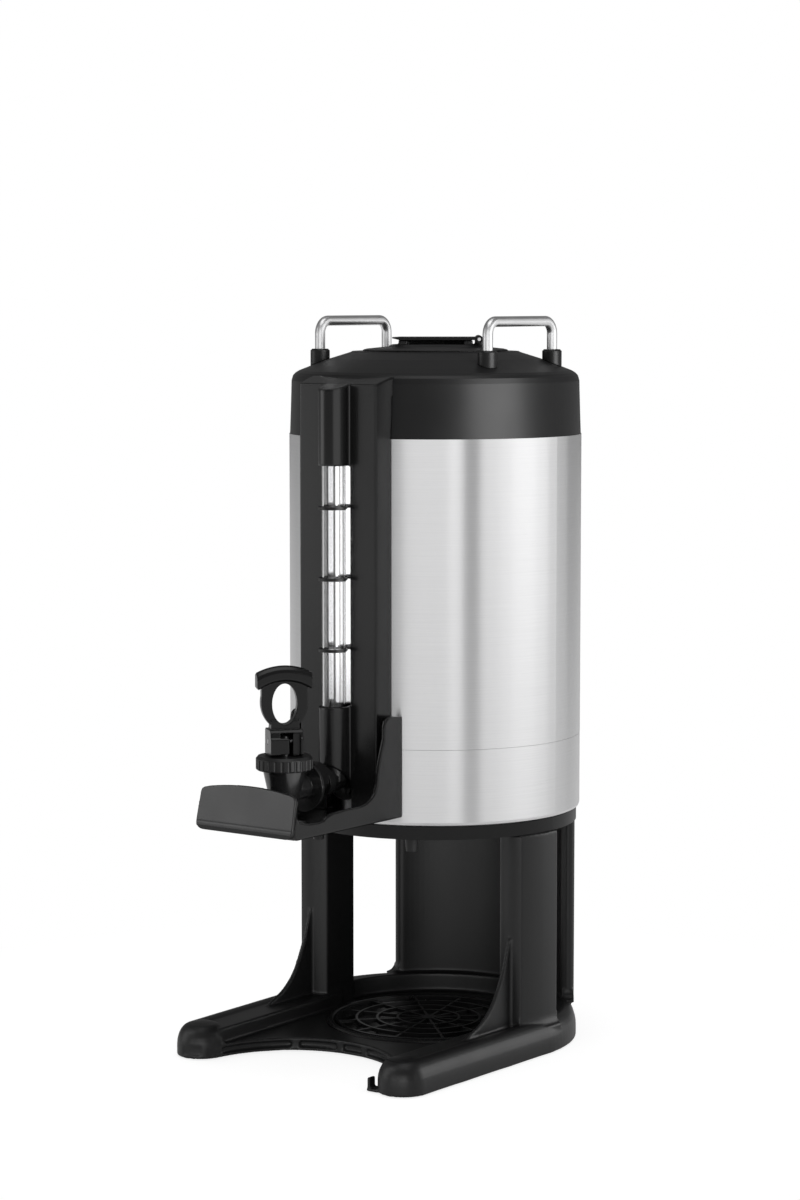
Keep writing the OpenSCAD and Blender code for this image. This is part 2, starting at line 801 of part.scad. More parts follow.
module tap_body() {
    color([0.04, 0.04, 0.042]) at_axis() difference() {
        union() {
            translate([0, -tap_y, 0]) rotate_extrude() polygon([
                [0, spout_z], [9.4, spout_z], [10, spout_z + 0.8], [10, tap_low - 28],
                [16, tap_low - 0.4], [17, tap_low - 0.4], [17, tap_low + 0.2], [16, tap_low + 0.2],
                [16, tap_low + 8], [0, tap_low + 8]
            ]);
            rod_y(9.5, -tap_y, -170, 0, shank_z);
            rod_y(19, -170.8, -168, 0, shank_z);
            rod_y(15.5, -168, -166, 0, shank_z);
        }
        translate([0, -tap_y, spout_z - 1]) cylinder(r = 6.4, h = 60);
        translate([0, -tap_y, seat_z]) cylinder(r1 = 6.4, r2 = 9, h = 2.6);
        translate([0, -tap_y, seat_z + 2.6]) cylinder(r1 = 9, r2 = 12.6, h = 8);
        translate([0, -tap_y, seat_z + 10.6]) cylinder(r = 12.6, h = 40);
        rod_y(5, -tap_y, -160, 0, shank_z);
        rod_y(7.5, -170.1, -160, 0, shank_z);
    }
}

module tap_bonnet() {
    flutes = 26;
    color([0.035, 0.035, 0.037]) at_axis() translate([0, -tap_y, 0]) difference() {
        union() {
            translate([0, 0, tap_low + 1]) cylinder(r = bonnet_r, h = bonnet_h - 3);
            translate([0, 0, tap_low]) cylinder(r1 = bonnet_r - 1.2, r2 = bonnet_r, h = 1);
            translate([0, 0, tap_top - 2]) cylinder(r1 = bonnet_r, r2 = bonnet_r - 1.6, h = 2);
        }
        for (i = [0:flutes - 1])
            rotate([0, 0, i * 360 / flutes]) translate([bonnet_r + 0.7, 0, tap_low - 1])
                cylinder(r = 1.5, h = bonnet_h - 1.4);
        translate([0, 0, tap_low + 0.2]) cylinder(r = 16.1, h = 8);
        translate([0, 0, tap_low - 1]) cylinder(r = 17.1, h = 1.2);
        translate([0, 0, tap_low]) cylinder(r = 9.6, h = bonnet_h - 3);
        cylinder(r = stem_r + run_fit, h = 2 * stand_h);
    }
}

// Return spring between the bonnet and the seat cup
module tap_spring() {
    low = seat_z + 16.4;
    high = tap_top - 3.2;
    color([0.7, 0.7, 0.72]) at_axis() translate([0, -tap_y, low]) {
        ring(8.4, 6.6, 0, 1.2);
        translate([0, 0, 0.6]) linear_extrude(high - low - 1.2, twist = -360 * 4, slices = 80, $fn = 8)
            translate([7.5, 0]) circle(r = 0.8, $fn = 8);
        ring(8.4, 6.6, high - low - 1.2, high - low);
    }
}

module seat_cup() {
    color([0.8, 0.8, 0.76]) at_axis() translate([0, -tap_y, 0]) difference() {
        union() {
            translate([0, 0, seat_z + 0.3]) cylinder(r1 = 6.2, r2 = 8.6, h = 2.4);
            translate([0, 0, seat_z + 2.7]) cylinder(r1 = 8.6, r2 = 11.6, h = 8);
            translate([0, 0, seat_z + 10.7]) cylinder(r = 11.6, h = 2.3);
            translate([0, 0, seat_z + 13]) cylinder(r = 9, h = 3.2);
        }
        translate([0, 0, seat_z + 4]) cylinder(r = stem_r + run_fit, h = 30);
    }
}

module tap_stem() {
    color([0.03, 0.03, 0.03]) at_axis() translate([0, -tap_y, 0]) difference() {
        union() {
            translate([0, 0, seat_z + 4.3]) cylinder(r = stem_r, h = pin_z + 3.8 - seat_z - 4.3);
            translate([0, 0, pin_z + 3.8]) cylinder(r1 = stem_r, r2 = stem_r - 0.8, h = 0.8);
        }
        translate([0, 0, pin_z]) rotate([0, 0, lever_turn]) rotate([0, 90, 0])
            cylinder(r = pin_r + 0.01, h = 40, center = true);
    }
}

// Puts a shape drawn about the pin into the lever's direction
module at_pin() {
    at_axis() translate([0, -tap_y, pin_z]) rotate([0, 0, lever_turn]) children();
}

module lever_pin() {
    color([0.8, 0.8, 0.8]) at_pin() rotate([0, 90, 0]) cylinder(r = pin_r, h = 25, center = true);
}

// Heel of the lever: its underside keeps one distance from the bonnet while it lifts the stem
function heel_points() = [for (i = [0:6])
    let (a = lever_tilt * i / 6, h = heel + heel_rate * a * PI / 180)
        [h * sin(a) + heel_rate * cos(a), -h * cos(a) + heel_rate * sin(a)]];

module lever_block() {
    front = heel_points()[6][0];
    difference() {
        union() {
            translate([-12.5, 0, 0]) rotate([90, 0, 90]) linear_extrude(25) polygon(concat(
                [[9, 9.3], [10.4, 8], [11, -heel + 1.4], [9.8, -heel]],
                [for (p = heel_points()) [-p[0], p[1]]],
                [[-front, 2.6], [-front + 1.6, 4], [-front + 2, 7.4], [-front + 3.6, 9.3]]
            ));
            // Shoulders that carry the ring
            translate([0, 5, 0]) rotate([90, 0, 0]) linear_extrude(10) polygon([
                [-12.5, 3], [-10.9, 10.4], [-10.6, 16], [10.6, 16], [10.9, 10.4], [12.5, 3]
            ]);
        }
        // Slot for the stem, closed in front above the heel and open below
        span([-stem_r - 0.4, -front + 1.4, -20], [stem_r + 0.4, stem_r + 0.5, stem_r + 2.6]);
        span([-stem_r - 0.4, -20, -20], [stem_r + 0.4, 0, -heel + 2]);
        span([-stem_r - 0.4, -1, -1], [stem_r + 0.4, 9, stem_r + 2.6]);
        // Recess in the front beside the slot
        span([1.4, -20, -heel - 1], [10.2, -front + 4.4, 6.6]);
    }
}

// Oval ring between the block and the finger pad
module lever_ring() {
    translate([0, 3.2, ring_z]) rotate([90, 0, 0]) linear_extrude(6.4) intersection() {
        union() {
            scale([17.9, 21]) circle(r = 1);
            translate([-17.4, 0]) square([34.8, 20]);
        }
        translate([-30, -20]) square([60, 37]);
    }
}

module lever_hole() {
    translate([0, 8, ring_z - 1.2]) rotate([90, 0, 0]) linear_extrude(16) scale([9.5, 15.2]) circle(r = 1);
}

// Arched finger pad: crest towards the back, shoulder falling to the front, upright ends
module lever_pad() {
    arch = 46;
    intersection() {
        translate([0, 0, pad_top - arch]) rotate([90, 0, 0]) rotate([0, 0, 55]) rotate_extrude(angle = 70)
            polygon([[arch - 11.5, -3.4], [arch - 10, -4.8], [arch - 2, -4.8], [arch - 0.4, -3],
                     [arch, -0.6], [arch - 0.7, 2], [arch - 2.6, 4], [arch - 4.6, 5], [arch - 10, 5],
                     [arch - 11.5, 3.6]]);
        translate([0, 10, 0]) rotate([90, 0, 0]) linear_extrude(20) polygon([
            [-pad_w / 2, pad_top - 18.2], [-pad_w / 2 + 1.6, pad_top - 19.6], [pad_w / 2 - 1.6, pad_top - 19.6],
            [pad_w / 2, pad_top - 18.2], [pad_w / 2, pad_top - 6.6], [pad_w / 2 - 1.4, pad_top - 3],
            [pad_w / 2 - 4, pad_top + 2], [-pad_w / 2 + 4, pad_top + 2], [-pad_w / 2 + 1.4, pad_top - 3],
            [-pad_w / 2, pad_top - 6.6]
        ]);
    }
}

module tap_lever() {
    color([0.03, 0.03, 0.031]) at_pin() difference() {
        union() {
            lever_block();
            lever_ring();
            lever_pad();
        }
        lever_hole();
        rotate([0, 90, 0]) cylinder(r = pin_r + run_fit, h = 60, center = true);
    }
}

// Guard round the tap

// Outline of one arm: high at the tank, low round the tap, rising again to the front plate
module guard_side() {
    g = stand_h;
    rotate([90, 0, 90]) linear_extrude(guard_t) polygon([
        [-100, g + 84.3], [-108, g + 84.6], [-119.3, g + 86.3], [-124.3, g + 85.4], [-127, g + 83.6],
        [-128.4, g + 80], [-128.9, g + 69.6], [-132.9, g + 58.6], [-134.8, g + 52], [-136.4, g + 44.4],
        [-137.3, g + 36.9], [-140, g + 30.7], [-144.5, g + 27], [-150.7, g + 24], [-157.8, g + 22.9],
        [-175.4, g + 22.9], [-192.8, g + 22.1], [-199.7, g + 20.4], [-203.1, g + 18.2],
        [-210, g + 17.6], [-221.9, g + 18.2], [-232, g + 20.6], [-guard_front + 2.3, g + 25.2],
        [-guard_front, g + plate_bend], [-guard_front, g + 10], [-guard_front + 3, guard_z], [-100, guard_z]
    ]);
}

// Front wall, upright below and leaning back above, between two distances from the front of the guard
module front_wall(near, far, low, high, half) {
    lean = 0.2286;
    translate([-half, 0, 0]) rotate([90, 0, 90]) linear_extrude(2 * half) polygon([
        [-guard_front + near, stand_h + low], [-guard_front + near, stand_h + plate_bend],
        [-guard_front + near + lean * (high - plate_bend), stand_h + high],
        [-guard_front + far + lean * (high - plate_bend), stand_h + high],
        [-guard_front + far, stand_h + plate_bend], [-guard_front + far, stand_h + low]
    ]);
}

module tap_guard() {
    inner = guard_half - guard_t;
    color([0.03, 0.03, 0.032]) at_axis() difference() {
        union() {
            both_sides() translate([inner, 0, 0]) guard_side();
            span([-inner - 1, -guard_front + 2, guard_z], [inner + 1, -100, guard_z + guard_t]);
            front_wall(0, guard_t, guard_low + 1.5, 36, inner + 1);
            // Ribs across the floor in front of the spout
            for (y = [-228, -219])
                span([-inner - 1, y, guard_z], [inner + 1, y + 2, guard_z + 5.8]);
        }
        // Openings for the spout and the rinse water
        translate([0, -tap_y, stand_h]) cylinder(r = 16, h = 20);
        for (x = [-33, -22, 18, 29])
            span([x, -180, stand_h], [x + 4, -150, stand_h + 20]);
        both_sides() translate([screw_x, -screw_y, stand_h]) cylinder(r = 2.2, h = 20);
        server_form(0.3);
    }
}

// Bare plate on the front of the guard: rounded corners, arched top, rolled lower lip
module guard_plate() {
    g = stand_h;
    low = guard_low + 0.9;
    w = plate_half;
    color([0.05, 0.05, 0.052]) at_axis() intersection() {
        union() {
            front_wall(-2.8, 0, low, 43.4, w);
            // Rolled lip below the groove
            translate([-w, 0, 0]) rotate([90, 0, 90]) linear_extrude(2 * w) polygon([
                [-guard_front, g + low], [-guard_front - 1.8, g + low], [-guard_front - 3, g + low + 1.4],
                [-guard_front - plate_t, g + low + 3.4], [-guard_front - 3.1, g + low + 5.6],
                [-guard_front - 2.2, g + plate_bend - 0.6], [-guard_front, g + plate_bend - 0.6]
            ]);
        }
        translate([0, -guard_front + 20, 0]) rotate([90, 0, 0]) linear_extrude(40) polygon(concat(
            [[-w + 7, g + low - 0.2], [-w + 2.8, g + low + 0.7], [-w + 0.6, g + low + 2.9], [-w, g + low + 6],
             [-w + 0.9, g + 36], [-w + 1.6, g + 37.9], [-w + 3.4, g + 39.2]],
            [for (a = [-38:4:38]) [a, g + 43.1 - 0.002 * a * a]],
            [[w - 3.4, g + 39.2], [w - 1.6, g + 37.9], [w - 0.9, g + 36], [w, g + low + 6],
             [w - 0.6, g + low + 2.9], [w - 2.8, g + low + 0.7], [w - 7, g + low - 0.2]]
        ));
    }
}

module guard_screws() {
    color([0.6, 0.6, 0.62]) at_axis() both_sides() translate([screw_x, -screw_y, 0]) {
        translate([0, 0, guard_z]) cylinder(r = 2.1, h = guard_t + 9);
        translate([0, 0, guard_z - 2]) cylinder(r = 4, h = 2);
    }
}

// Lid

module at_lid() {
    at_axis() rotate([0, 0, lid_turn]) children();
}

module lid_body() {
    z = rim_z + clear;
    plug = neck_r - 3;
    color([0.03, 0.03, 0.032]) at_lid() difference() {
        union() {
            rotate_extrude() polygon([
                [0, z - 22], [plug - 8, z - 22], [plug - 6, z - 20], [plug - 3, z - 16], [plug - 3, z - 12],
                [plug, z - 12], [plug, z], [lid_r, z], [lid_r, z + 0.8], [lid_r - 3, z + 1.6],
                [46, z + 2.4], [38, z + 3.2], [34, z + 5], [0, z + 5.4]
            ]);
            span([-29, -15, z + 2], [29, 20, z + 8.1]);
            // Lug between the flap's knuckles
            rod_y(3, -5.7, 7.7, 34, rim_z + 9.4);
            span([31, -5.7, z + 1], [37, 7.7, rim_z + 9.4]);
        }
        rod_y(flap_pin_r + 0.02, -30, 30, 34, rim_z + 9.4);
        // Well below the flap, open to the front
        span([-22, -19, z + 2.6], [22, 11, z + 12]);
        translate([0, -3, z - 30]) cylinder(r = 6, h = 40);
        translate([0, 0, z - 30]) cylinder(r = plug - 8, h = 22);
    }
}

module lid_gasket() {
    z = rim_z + clear;
    color([0.75, 0.75, 0.72]) at_lid() ring(neck_r - 0.3, neck_r - 5.95, z - 16, z - 12);
}

module lid_pin() {
    color([0.85, 0.85, 0.85]) at_lid() rod_y(flap_pin_r, -17, 19, 34, rim_z + 9.4);
}

module lid_flap() {
    z = rim_z + 8.7;
    left = 36 - flap_len;
    color([0.03, 0.03, 0.031]) at_lid() difference() {
        union() {
            span([left + 6, -flap_w / 2 + 1, z], [34, flap_w / 2 + 1, z + 2.4]);
            translate([left + 6, flap_w / 2 + 1, z]) rotate([90, 0, 0]) linear_extrude(flap_w)
                polygon([[0, 0], [-6, 1.4], [-6, 2], [0, 2.4]]);
            rod_y(3, -16, -6, 34, rim_z + 9.4);
            rod_y(3, 8, 18, 34, rim_z + 9.4);
        }
        rod_y(flap_pin_r + run_fit, -30, 30, 34, rim_z + 9.4);
        span([30.4, -6, z - 4], [40, 8, z + 8]);
    }
}

stand_foot();
post_left();
post_right();
back_panel();
stand_deck();
rubber_feet();
deck_screws();
foot_screws();
drip_tray();
drip_grate();
outer_shell();
base_band();
tank_base();
locating_pegs();
flask_base();
flask_wall();
flask_neck();
top_collar();
mouth_gasket();
handle_left();
handle_right();
handle_sockets();
handle_nuts();
gauge_cover();
gauge_reflector();
gauge_tube();
gauge_markers();
gauge_seals();
gauge_plug();
tap_shank();
shank_nut();
shank_washer();
tap_body();
tap_bonnet();
tap_guard();
guard_plate();
guard_screws();
tap_spring();
seat_cup();
tap_stem();
lever_pin();
tap_lever();
lid_body();
lid_gasket();
lid_pin();
lid_flap();
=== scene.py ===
"""Coffee dispenser: moulded pieces, procedural materials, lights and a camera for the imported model.

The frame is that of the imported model, in metres: the tap faces -Y and the floor is z = 0. The measures
named first are in millimetres, and MM turns them into metres.
"""
import json
import math

import bmesh
import bpy
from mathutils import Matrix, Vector

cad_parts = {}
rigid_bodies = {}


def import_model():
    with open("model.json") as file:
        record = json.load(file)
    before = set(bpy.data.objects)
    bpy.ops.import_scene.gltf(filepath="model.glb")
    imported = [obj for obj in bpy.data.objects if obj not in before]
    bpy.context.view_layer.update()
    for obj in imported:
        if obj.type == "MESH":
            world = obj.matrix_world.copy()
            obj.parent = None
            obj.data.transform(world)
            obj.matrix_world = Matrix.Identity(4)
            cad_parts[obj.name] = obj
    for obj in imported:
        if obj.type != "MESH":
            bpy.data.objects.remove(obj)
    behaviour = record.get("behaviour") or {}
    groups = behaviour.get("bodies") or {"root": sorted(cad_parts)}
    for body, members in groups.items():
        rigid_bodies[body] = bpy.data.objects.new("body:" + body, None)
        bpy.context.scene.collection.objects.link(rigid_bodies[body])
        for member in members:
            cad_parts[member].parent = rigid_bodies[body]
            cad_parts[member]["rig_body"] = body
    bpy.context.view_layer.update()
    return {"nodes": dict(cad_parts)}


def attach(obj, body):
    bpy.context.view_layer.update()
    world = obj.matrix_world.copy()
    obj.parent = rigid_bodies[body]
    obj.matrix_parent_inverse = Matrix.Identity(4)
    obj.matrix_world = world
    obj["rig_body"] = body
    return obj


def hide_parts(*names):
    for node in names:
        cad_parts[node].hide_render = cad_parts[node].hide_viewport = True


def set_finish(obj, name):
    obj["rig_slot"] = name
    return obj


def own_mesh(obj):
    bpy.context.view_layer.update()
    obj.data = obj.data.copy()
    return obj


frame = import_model()
nodes = frame["nodes"]
scene = bpy.context.scene
MM = 0.001

# Places in the CAD model
AXIS_Y = 63.2
LEG_Z = 25.4
TOE_X = 100.8
SCREW_X = 62
TANK_R = 115
TOE_R = 19.5
TUBE_R = 9.25
MARKER_STEP = 54

# Distances from the tank axis: toes and sight tube ahead of it, rear screws behind it
TOE_Y = 175
TUBE_Y = 131.5
SCREW_Y = 86

# Fillet between the upright edges of the back panel and the sill; turns are degrees about the tank axis
PANEL_INNER_R = 102.2
PANEL_OUTER_R = 111.6
PANEL_MIDDLE_R = 106.5
PANEL_TURN = 36.6
PANEL_FILLET_R = 7
PANEL_OVERLAP = 3
PANEL_SUNK = 2
PANEL_LIFT = 0.01

# Slope between the posts and the round side of the foot; turns are degrees about the tank axis
SLOPE_INNER_R = 111
SLOPE_START_R = 113.8
SLOPE_OUTER_R = 118.2
SLOPE_FILLET_R = 4.4
SLOPE_STEEPNESS = 2.2
SLOPE_DROP = 4.2
SLOPE_SUNK = 8
SLOPE_LIFT = 5.5
SLOPE_FIRST_TURN = -19
SLOPE_TURN_STEP = 1.1
SLOPE_TURNS = 21

# Plugs that close the toes and thicken the wall round the rear screws: radius, lower and upper end
TOE_PLUG_R = TOE_R - 0.9
TOE_PLUG_Z = (3.4, 12)
SCREW_PLUG_R = 3.4
SCREW_PLUG_Z = (9, 30)

# The hooked tab beside the right toe, which is shorter than in the CAD model
TAB_Y = AXIS_Y - TOE_Y - 5
TAB_X = (60, 80)
TAB_SHIFT = 10.7

# The legs, which draw in and back towards the toes
LEG_ROOT_Y = AXIS_Y - 13
LEG_LENGTH = 162
LEG_INSIDE_X = 50
LEG_BLEND = 12
LEG_DRAWN_IN = 3.6
LEG_DRAWN_BACK = 1.0

# The marker clips, wider than the rings of the CAD model in front of the tube
CLIP_BORE_R = TUBE_R + 0.6
CLIP_FRONT = 2.5
CLIP_BLEND = 3
CLIP_GROWTH = 1.2
CLIP_DROP = 0.6
CLIP_EDGE = 0.1

# Most of a noise lies between these values
NOISE_RANGE = (0.3, 0.7)
QUARTER_TURN = 0.25


# Shader helpers

def new_material(name, colour, roughness, metallic=0.0):
    """A material with one Principled shader; returns the material, its tree and the shader."""
    made = bpy.data.materials.new(name)
    made.use_nodes = True
    tree = made.node_tree
    shader = tree.nodes["Principled BSDF"]
    shader.inputs["Base Color"].default_value = (*colour, 1.0)
    shader.inputs["Roughness"].default_value = roughness
    shader.inputs["Metallic"].default_value = metallic
    return made, tree, shader


def add_node(tree, kind, **settings):
    """A new shader node with its settings."""
    made = tree.nodes.new(kind)
    for key, value in settings.items():
        setattr(made, key, value)
    return made


def object_coordinates(tree):
    """Coordinates that move with the object."""
    return add_node(tree, "ShaderNodeTexCoord").outputs["Object"]


def stretched(tree, vector, scale, location=(0, 0, 0)):
    """Coordinates scaled along each axis."""
    mapping = add_node(tree, "ShaderNodeMapping")
    mapping.inputs["Scale"].default_value = scale
    mapping.inputs["Location"].default_value = location
    tree.links.new(vector, mapping.inputs["Vector"])
    return mapping.outputs["Vector"]


def noise(tree, vector, scale=1, detail=3.0, rough=0.55):
    """Noise between 0 and 1."""
    made = add_node(tree, "ShaderNodeTexNoise")
    made.inputs["Scale"].default_value = scale
    made.inputs["Detail"].default_value = detail
    made.inputs["Roughness"].default_value = rough
    tree.links.new(vector, made.inputs["Vector"])
    return made.outputs["Fac"]


def remap(tree, value, low, high, to_low, to_high):
    """A value carried over from one range to another."""
    made = add_node(tree, "ShaderNodeMapRange")
    for socket, number in zip(("From Min", "From Max", "To Min", "To Max"), (low, high, to_low, to_high)):
        made.inputs[socket].default_value = number
    tree.links.new(value, made.inputs["Value"])
    return made.outputs["Result"]


def calculate(tree, operation, *values):
    """The result of an operation on numbers and sockets."""
    made = add_node(tree, "ShaderNodeMath", operation=operation)
    for socket, value in zip(made.inputs, values):
        if isinstance(value, (int, float)):
            socket.default_value = value
        else:
            tree.links.new(value, socket)
    return made.outputs["Value"]


def weighted(tree, first, first_weight, second, second_weight):
    """The weighted sum of two values."""
    return calculate(tree, "ADD", calculate(tree, "MULTIPLY", first, first_weight),
                     calculate(tree, "MULTIPLY", second, second_weight))


def shade(colour, factor):
    """A colour made darker or lighter, up to full brightness."""
    return tuple(min(1, channel * factor) for channel in colour)


def tinted(tree, shader, factor, low, high):
    """Base colour that varies between two colours."""
    mix = add_node(tree, "ShaderNodeMix", data_type="RGBA")
    ends = {"A": low, "B": high}
    for socket in mix.inputs:
        if socket.type == "RGBA":
            socket.default_value = (*ends[socket.name], 1.0)
    tree.links.new(factor, mix.inputs["Factor"])
    output = [socket for socket in mix.outputs if socket.type == "RGBA"][0]
    tree.links.new(output, shader.inputs["Base Color"])


def roughened(tree, shader, value, low, high, value_range=NOISE_RANGE):
    """Roughness that varies between two levels with a value."""
    tree.links.new(remap(tree, value, *value_range, low, high), shader.inputs["Roughness"])


def bumped(tree, shader, height, strength, distance, edge=0.0):
    """Relief from a height, over a distance in metres; corners look rounded by edge in millimetres."""
    made = add_node(tree, "ShaderNodeBump")
    if edge:
        corner = add_node(tree, "ShaderNodeBevel", samples=4)
        corner.inputs["Radius"].default_value = edge * MM
        tree.links.new(corner.outputs["Normal"], made.inputs["Normal"])
    made.inputs["Strength"].default_value = strength
    made.inputs["Distance"].default_value = distance
    tree.links.new(height, made.inputs["Height"])
    tree.links.new(made.outputs["Normal"], shader.inputs["Normal"])


def mixed(tree, factor, first, second):
    """A mix of two shaders: the first where the factor is 0, the second where it is 1."""
    made = add_node(tree, "ShaderNodeMixShader")
    tree.links.new(factor, made.inputs["Fac"])
    tree.links.new(first, made.inputs[1])
    tree.links.new(second, made.inputs[2])
    return made.outputs["Shader"]


def glowing(tree, strength):
    """A shader of even white light."""
    made = add_node(tree, "ShaderNodeEmission")
    made.inputs["Strength"].default_value = strength
    return made.outputs["Emission"]


# Materials

def moulded_plastic(name, colour, roughness, grain, specular):
    """Moulded plastic: fine grain, faint flow marks and roughness that varies in patches."""
    made, tree, shader = new_material(name, colour, roughness)
    shader.inputs["Specular IOR Level"].default_value = specular
    place = object_coordinates(tree)
    fine = noise(tree, place, 2600, detail=2.0)
    broad = noise(tree, place, 24, detail=4.0)
    flow = noise(tree, stretched(tree, place, (30, 30, 8)))
    polish = weighted(tree, broad, 0.6, flow, 0.4)
    roughened(tree, shader, polish, roughness - 0.035, roughness + 0.045)
    tinted(tree, shader, broad, shade(colour, 0.85), shade(colour, 1.18))
    bumped(tree, shader, fine, strength=grain, distance=0.00006, edge=0.4)
    return made


def around_tank(tree, place):
    """Distance round the tank and height, both in metres, as a vector."""
    split = add_node(tree, "ShaderNodeSeparateXYZ")
    tree.links.new(place, split.inputs["Vector"])
    ahead = calculate(tree, "SUBTRACT", AXIS_Y * MM, split.outputs["Y"])
    angle = calculate(tree, "ARCTAN2", split.outputs["X"], ahead)
    join = add_node(tree, "ShaderNodeCombineXYZ")
    tree.links.new(calculate(tree, "MULTIPLY", angle, TANK_R * MM), join.inputs["X"])
    tree.links.new(split.outputs["Z"], join.inputs["Y"])
    return join.outputs["Vector"]


def brushed_sheet(name, colour, roughness, anisotropy):
    """Stainless sheet brushed round the tank: long fine lines of slightly different height and shade."""
    made, tree, shader = new_material(name, colour, roughness, metallic=1.0)
    shader.inputs["Anisotropic"].default_value = anisotropy
    shader.inputs["Anisotropic Rotation"].default_value = QUARTER_TURN
    tangent = add_node(tree, "ShaderNodeTangent", direction_type="RADIAL", axis="Z")
    tree.links.new(tangent.outputs["Tangent"], shader.inputs["Tangent"])
    unrolled = around_tank(tree, object_coordinates(tree))
    lines = noise(tree, stretched(tree, unrolled, (22, 5200, 1)), detail=4.0, rough=0.65)
    bands = noise(tree, stretched(tree, unrolled, (9, 900, 1), location=(3, 7, 0)), rough=0.6)
    both = weighted(tree, lines, 0.7, bands, 0.3)
    contrast = remap(tree, both, *NOISE_RANGE, 0.0, 1.0)
    tinted(tree, shader, contrast, shade(colour, 0.93), shade(colour, 1.06))
    roughened(tree, shader, both, roughness - 0.03, roughness + 0.03)
    bumped(tree, shader, lines, strength=0.25, distance=0.00004)
    return made


def drawn_metal(name, colour, roughness, streak):
    """Bare metal with fine streaks; streak is the scale of the noise along each axis."""
    made, tree, shader = new_material(name, colour, roughness, metallic=1.0)
    place = object_coordinates(tree)
    lines = noise(tree, stretched(tree, place, streak), detail=4.0, rough=0.6)
    broad = noise(tree, place, 60)
    tinted(tree, shader, lines, shade(colour, 0.9), shade(colour, 1.05))
    roughened(tree, shader, broad, roughness - 0.04, roughness + 0.05)
    bumped(tree, shader, lines, strength=0.15, distance=0.00003)
    return made


def clear_plastic(name):
    """Clear plastic with faint smears along the tube."""
    made, tree, shader = new_material(name, (1, 1, 1), roughness=0.03)
    shader.inputs["Transmission Weight"].default_value = 1.0
    shader.inputs["IOR"].default_value = 1.46
    smear = noise(tree, stretched(tree, object_coordinates(tree), (60, 60, 12)))
    roughened(tree, shader, smear, 0.015, 0.06, value_range=(0.35, 0.75))
    bumped(tree, shader, smear, strength=0.05, distance=0.0002)
    return made


def soft_rubber(name, colour):
    """Dull rubber or silicone with a fine grain."""
    made, tree, shader = new_material(name, colour, roughness=0.7)
    place = object_coordinates(tree)
    fine = noise(tree, place, 1500)
    broad = noise(tree, place, 40)
    tinted(tree, shader, broad, shade(colour, 0.85), shade(colour, 1.15))
    bumped(tree, shader, fine, strength=0.3, distance=0.00008)
    return made


MATERIALS = {
    "black_satin": moulded_plastic("satin_plastic", (0.006, 0.006, 0.0062), roughness=0.38,
                                   grain=0.2, specular=0.35),
    "black_gloss": moulded_plastic("gloss_plastic", (0.005, 0.005, 0.0051), roughness=0.24,
                                   grain=0.08, specular=0.42),
    "black_rubber": soft_rubber("dark_rubber", (0.02, 0.02, 0.02)),
    "grey_silicone": soft_rubber("pale_silicone", (0.55, 0.54, 0.51)),
    "brushed_steel": brushed_sheet("brushed_sheet", (0.77, 0.77, 0.775), roughness=0.3, anisotropy=0.9),
    "flask_steel": drawn_metal("flask_metal", (0.62, 0.62, 0.63), roughness=0.3, streak=(40, 40, 900)),
    "bright_steel": drawn_metal("bright_metal", (0.9, 0.9, 0.905), roughness=0.34, streak=(900, 60, 60)),
    "screw_steel": drawn_metal("screw_metal", (0.55, 0.55, 0.56), roughness=0.32, streak=(500, 500, 500)),
    "reflector": drawn_metal("mirror_sheet", (0.88, 0.88, 0.89), roughness=0.1, streak=(1200, 900, 20)),
    "clear_tube": clear_plastic("clear_plastic"),
}
# Nodes that have a finish of their own
OWN_MATERIALS = {
    "tap_body": moulded_plastic("tap_plastic", (0.008, 0.008, 0.0082), roughness=0.2,
                                grain=0.05, specular=1.0),
}


# Mesh helpers

def slot_of(name):
    """The record's material slot of a CAD node."""
    return nodes[name].material_slots[0].material.name.split(".")[0]


def add_piece(name, mesh, body, slot):
    """A new piece that moves with a body and has the material of a slot."""
    made = bpy.data.objects.new(name, mesh)
    scene.collection.objects.link(made)
    mesh.materials.clear()
    mesh.materials.append(MATERIALS[slot])
    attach(made, body)
    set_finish(made, slot)
    return made


def clamped(value):
    """A value held between 0 and 1."""
    return min(1, max(0, value))


def loft(bm, rings):
    """A closed solid skinned over rings of points in millimetres about the tank axis."""
    rows = [[bm.verts.new(Vector((x, y + AXIS_Y, z)) * MM) for x, y, z in ring] for ring in rings]
    count = len(rows[0])
    for first, second in zip(rows, rows[1:]):
        for i in range(count):
            j = (i + 1) % count
            bm.faces.new((first[i], first[j], second[j], second[i]))
    bm.faces.new(rows[0])
    bm.faces.new(list(reversed(rows[-1])))


def polar(radius, degrees, z):
    """A point at a height, from its radius and its turn about an upright axis."""
    turn = math.radians(degrees)
    return radius * math.cos(turn), radius * math.sin(turn), z


def on_side(ring, side):
    """A ring of points as it is on the right, or mirrored to the left when side is -1."""
    return [(side * x, y, z) for x, y, z in ring]


def hollow_curve(radius, steps=8):
    """Offsets and heights of a fillet between an upright wall and a level surface."""
    points = []
    for i in range(steps + 1):
        out = radius * i / steps
        points.append((out, radius - math.sqrt(radius ** 2 - (radius - out) ** 2)))
    return points


def applied(source, name, settings):
    """The mesh of an object after a list of modifiers, as a new mesh."""
    for kind, values in settings:
        made = source.modifiers.new(kind.lower(), kind)
        for key, value in values.items():
            setattr(made, key, value)
    bpy.context.view_layer.update()
    graph = bpy.context.evaluated_depsgraph_get()
    mesh = bpy.data.meshes.new_from_object(source.evaluated_get(graph))
    mesh.name = name
    return mesh


